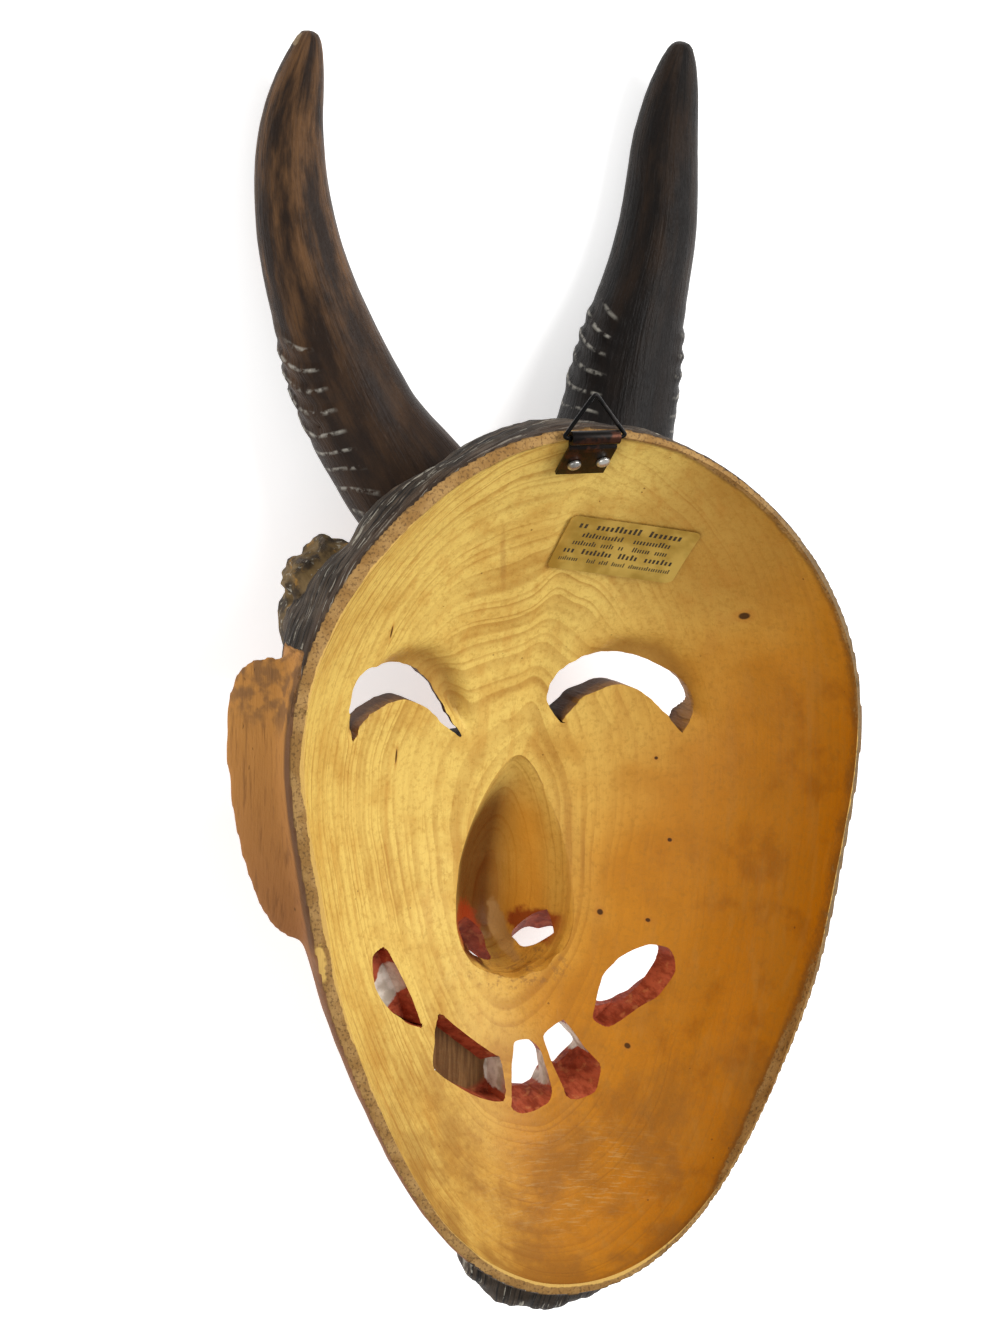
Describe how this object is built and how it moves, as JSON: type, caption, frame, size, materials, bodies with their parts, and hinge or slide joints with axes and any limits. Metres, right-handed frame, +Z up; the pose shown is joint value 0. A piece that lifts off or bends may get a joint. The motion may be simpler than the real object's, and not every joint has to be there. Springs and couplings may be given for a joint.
{
  "type": "carved carnival mask",
  "caption": "Horned devil mask carved from one block of limewood, lying face down with its hollow up, with pierced eyes and mouth and a wire hanging ring.",
  "frame": {"origin": "on the surface the mask lies on, below the middle of its bounding box", "axes": "+X to the wearer's right, which is the right-hand side when looking into the hollow; +Y towards the horn tips; +Z up, out of the hollow"},
  "size_m": [0.253, 0.4771, 0.1255],
  "materials": {
    "limewood": "hand-carved limewood, bare in the hollow and stained brown outside",
    "strap_iron": "blackened sheet iron, worn bronze at the fold",
    "ring_wire": "blackened iron wire",
    "nail_steel": "bright round-headed steel",
    "label_foil": "gold-coloured foil"
  },
  "bodies": {
    "mask": {"mask": "limewood", "hanger_strap": "strap_iron", "nail_left": "nail_steel", "nail_right": "nail_steel", "label_sticker": "label_foil"},
    "ring": {"hanger_ring": "ring_wire"}
  },
  "joints": [
    {"name": "ring_hinge", "type": "hinge", "parent": "mask", "child": "ring", "pos_m": [0.0015, 0.0951, 0.1229], "axis": [1, 0, 0], "range_deg": [-20, 150]}
  ]
}
